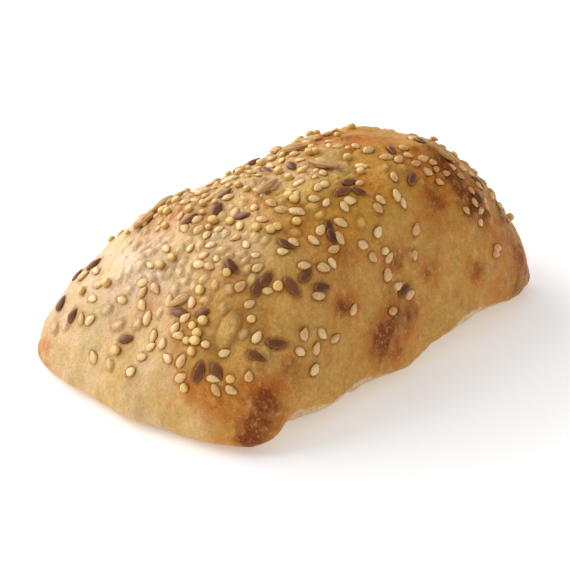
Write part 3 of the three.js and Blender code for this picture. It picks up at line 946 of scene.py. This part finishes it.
def crust_material():
    m = Material("crust")
    brown = m.attribute("brown")
    golden = m.attribute("golden")
    toast = m.attribute("toast")
    fine = m.noise(0.5 * MM, 3, 0.6)
    grain = m.noise(1.3 * MM, 4, 0.6)
    streaks = m.noise(1.0 * MM, 3, 0.6, 0.4)
    patches = m.noise(4 * MM, 4, 0.6)
    pale = m.mix(m.spread(m.noise(7 * MM, 2), 0.42, 0.6, 0, 1), linear(PALE_DOUGH), linear(PALE_PINK))
    pale = m.mix(m.spread(m.noise(5 * MM, 3), 0.45, 0.62, 0, 0.6), pale, linear(PALE_OLIVE))
    deep = m.mix(m.spread(m.noise(5.5 * MM, 3), 0.42, 0.6, 0, 0.8), linear(GOLDEN_TAN), linear(YELLOW_TAN))
    deep = m.mix(m.spread(m.noise(3.2 * MM, 3, 0.6, 0.7), 0.5, 0.68, 0, 0.65), deep, linear(RED_TAN))
    uneven = m.math("ADD", m.spread(patches, 0.3, 0.7, 0, 0.5), m.spread(grain, 0.3, 0.7, 0, 0.3))
    toast_here = m.math("ADD", m.math("SUBTRACT", toast, 0.3, clamp=False), uneven)
    colour = m.mix(toast_here, pale, deep)
    sunk = m.attribute("sunk")
    colour = m.mix(m.math("MULTIPLY", sunk, 0.5), colour, linear(SESAME_LIGHT))
    # Painted shade in the crease round each seed
    colour = m.mix(m.math("MULTIPLY", m.attribute("crease"), 0.7), colour, linear(CREASE_SHADE_TAN))
    colour = m.mix(m.math("MULTIPLY", golden, m.spread(grain, 0.3, 0.6, 0.75, 1)), colour, linear(ORANGE_GOLD))
    colour = m.mix(m.math("MULTIPLY", brown, m.spread(grain, 0.3, 0.6, 0.7, 1)), colour, linear(RED_BROWN))
    blisters = m.dots(1.1 * MM, 0.3)
    burnt = m.math("ADD", brown, m.math("MULTIPLY", golden, 0.8))
    freckles = m.math("MULTIPLY", blisters, m.spread(burnt, 0.1, 0.7, 0.25, 0.35))
    threads = m.threads(2.6 * MM, 0.022)
    pale_bits = m.math("MAXIMUM", freckles, m.math("MULTIPLY", threads, 0.22))
    colour = m.mix(pale_bits, colour, linear(BLISTER_PALE))
    colour = m.mix(1.0, colour, m.spread(fine, 0.3, 0.7, 0.88, 1.12), "MULTIPLY")
    colour = m.mix(1.0, colour, m.spread(streaks, 0.3, 0.7, 0.92, 1.08), "MULTIPLY")
    colour = m.mix(1.0, colour, m.spread(grain, 0.3, 0.7, 0.88, 1.12), "MULTIPLY")
    # Pores: small dots darkened as painted shade
    pores = m.dots(0.9 * MM, 0.2)
    colour = m.mix(m.math("MULTIPLY", pores, 0.3), colour, linear(CREASE_SHADE_TAN))
    flecks = m.spread(m.noise(1.5 * MM, 2, 0.5, 0.6), 0.6, 0.7, 0, 0.4)
    colour = m.mix(m.math("MULTIPLY", flecks, toast), colour, linear(BLISTER_PALE))
    warmth = m.attribute("warmth")
    colour = m.mix(m.spread(warmth, 0, 1, 0, 1), colour, HONEY_TINT, "MULTIPLY")
    colour = m.mix(m.spread(warmth, -1, 0, 1, 0), colour, OLIVE_TINT, "MULTIPLY")
    # Painted highlight: the colour of the wet places is lifted towards a pale pink sheen
    sheen = m.attribute("sheen")
    colour = m.mix(m.math("MULTIPLY", sheen, m.spread(patches, 0.38, 0.62, 0.1, 0.7)), colour, linear(PAINTED_SHEEN_PINK))
    flour_grain = m.spread(m.noise(0.7 * MM, 3), 0.38, 0.56, 0.25, 1)
    colour = m.mix(m.math("MULTIPLY", m.attribute("flour"), flour_grain), colour, linear(FLOUR_WHITE))
    m.set(Base_Color=colour)
    glaze = m.math("SUBTRACT", 1.0, m.math("ADD", toast, burnt))
    glaze = m.math("MAXIMUM", m.math("MULTIPLY", glaze, 0.5), sheen)
    m.set(Roughness=m.spread(glaze, 0, 1, 0.55, 0.28), Specular_IOR_Level=m.spread(glaze, 0, 1, 0.15, 0.8))
    normal = m.bump(grain, 0.5 * MM, 0.7)
    normal = m.bump(streaks, 0.25 * MM, 0.6, normal)
    normal = m.bump(fine, 0.2 * MM, 0.8, normal)
    normal = m.bump(threads, 0.12 * MM, 0.5, normal)
    normal = m.bump(blisters, 0.12 * MM, 0.5, normal)
    m.set(Normal=normal)
    m.shader.inputs["Subsurface Weight"].default_value = 0.08
    m.shader.inputs["Subsurface Radius"].default_value = (1.0, 0.5, 0.2)
    m.shader.inputs["Subsurface Scale"].default_value = 1.5 * MM
    return m.material


# A seed's colour: between two colours by its own tone, with fine streaks, and another at its rim. The rim colour is
# painted shade round the outlines of sesame, millet and kernels, and on linseeds a paler edge that is partly their own
# tan rim and partly a painted highlight
def seed_material(name, light, dark, rim, streak_size, roughness, gloss, bump_depth):
    m = Material(name)
    streaks = m.noise(streak_size, 3)
    tone = m.math("ADD", m.attribute("tone"), m.spread(streaks, 0.3, 0.7, -0.15, 0.35))
    if name == "kernel":
        tone = m.math("ADD", tone, m.math("MULTIPLY", m.attribute("stripe"), 0.35))
    colour = m.mix(tone, linear(light), linear(dark))
    # Rim colour: painted shade at the outline of sesame, millet and kernels, and on linseeds a paler edge, partly real
    # and partly a painted highlight
    colour = m.mix(m.math("MULTIPLY", m.attribute("rim"), 0.7), colour, linear(rim))
    m.set(Base_Color=colour, Roughness=roughness)
    m.set(Normal=m.bump(streaks, bump_depth, 0.6))
    m.shader.inputs["Specular IOR Level"].default_value = gloss
    return m.material


# A piece of the roll: it moves with the roll's one body
def add_piece(name, mesh, material):
    piece = bpy.data.objects.new(name, mesh)
    bpy.context.collection.objects.link(piece)
    piece.data.materials.append(material)
    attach(piece, "root")
    return piece


def add_seeds(seeds):
    random = np.random.default_rng(RANDOM_SEED + 40)
    shapes = {
        "kernels": drop_shape(10 * MM, 3.8 * MM, 2.4 * MM, 0.35, 54, 20, 0.05, KERNEL_STRIPES),
        "linseeds": drop_shape(4.3 * MM, 2.15 * MM, 1.1 * MM, 0.4, 16, 12),
        "sesame": drop_shape(3.0 * MM, 2.0 * MM, 1.15 * MM, 0.35, 14, 10),
        "millet": grain_shape(2.15 * MM, 1.9 * MM, 0.25 * MM, 16, 12),
    }
    thickness = {"kernels": 2.4 * MM, "linseeds": 1.1 * MM, "sesame": 1.15 * MM, "millet": 1.9 * MM}
    materials = {
        "kernels": seed_material("kernel", KERNEL_LIGHT, KERNEL_DARK, KERNEL_RIM_SHADE, 0.8 * MM, 0.55, 0.25, 0.2 * MM),
        "linseeds": seed_material("linseed", LINSEED_LIGHT, LINSEED_DARK, LINSEED_RIM_AND_HIGHLIGHT, 0.5 * MM, 0.28, 0.3, 0.1 * MM),
        "sesame": seed_material("sesame", SESAME_LIGHT, SESAME_TOASTED, SESAME_RIM_SHADE, 0.6 * MM, 0.32, 0.45, 0.1 * MM),
        "millet": seed_material("millet", MILLET_LIGHT, MILLET_DEEP, MILLET_RIM_SHADE, 0.5 * MM, 0.32, 0.45, 0.08 * MM),
    }
    names = {"kernels": "sunflower_kernels", "linseeds": "linseeds", "sesame": "sesame_seeds", "millet": "millet_grains"}
    for kind, shape in shapes.items():
        for seed in seeds[kind]:
            seed.place = seed.place + seed.up * SEED_PROUD[kind] * thickness[kind]
        mesh = seed_mesh(names[kind], shape, seeds[kind], random)
        add_piece(names[kind], mesh, materials[kind])


def add_floor():
    half = FLOOR_SIZE / 2
    mesh = bpy.data.meshes.new("floor")
    corners = [(-half, -half, 0), (half, -half, 0), (half, half, 0), (-half, half, 0)]
    mesh.from_pydata(corners, [], [(0, 1, 2, 3)])
    floor = bpy.data.objects.new("floor", mesh)
    bpy.context.collection.objects.link(floor)
    m = Material("floor")
    m.set(Base_Color=linear(FLOOR_WHITE), Roughness=0.9)
    m.shader.inputs["Emission Color"].default_value = (1, 1, 1, 1)
    m.shader.inputs["Emission Strength"].default_value = FLOOR_GLOW
    mesh.materials.append(m.material)


def add_lamp(name, way, power):
    data = bpy.data.lights.new(name, "AREA")
    data.shape = "DISK"
    data.size = LAMP_SIZE
    data.energy = power
    lamp = bpy.data.objects.new(name, data)
    bpy.context.collection.objects.link(lamp)
    way = Vector(way).normalized()
    turn = way.to_track_quat("Z", "Y").to_matrix().to_4x4()
    lamp.matrix_world = Matrix.Translation(way * LAMP_DISTANCE) @ turn


def add_light():
    world = bpy.data.worlds.new("sky")
    world.use_nodes = True
    world.node_tree.nodes["Background"].inputs["Strength"].default_value = SKY_STRENGTH
    world.node_tree.nodes["Background"].inputs["Color"].default_value = (1, 1, 1, 1)
    bpy.context.scene.world = world
    add_lamp("key", KEY_FROM, KEY_POWER)
    add_lamp("back", BACK_FROM, BACK_POWER)
    bpy.context.scene.view_settings.view_transform = "Standard"


def main():
    camera = PhotoCamera()
    camera.make()
    grid = crust_grid()
    normals = grid_normals(grid)
    grid = grid + fine_rise(grid)[..., None] * normals
    side = grid.shape[0]
    index = np.arange(side * side).reshape(side, side)
    quads = np.stack([index[:-1, :-1], index[1:, :-1], index[1:, 1:], index[:-1, 1:]], axis=-1)
    tree = BVHTree.FromPolygons(grid.reshape(-1, 3).tolist(), quads.reshape(-1, 4).tolist())
    seeds = place_seeds(grid, normals, tree, camera)
    masks = crust_masks(grid, normals, tree, camera, seeds)
    toast_seeds(seeds, grid, masks)
    rise, masks["crease"] = seed_rise(grid, seeds)
    grid = grid + rise[..., None] * normals
    crust = add_piece("crust", crust_mesh(grid, masks), crust_material())
    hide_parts("roll")
    add_seeds(seeds)
    add_floor()
    add_light()


main()
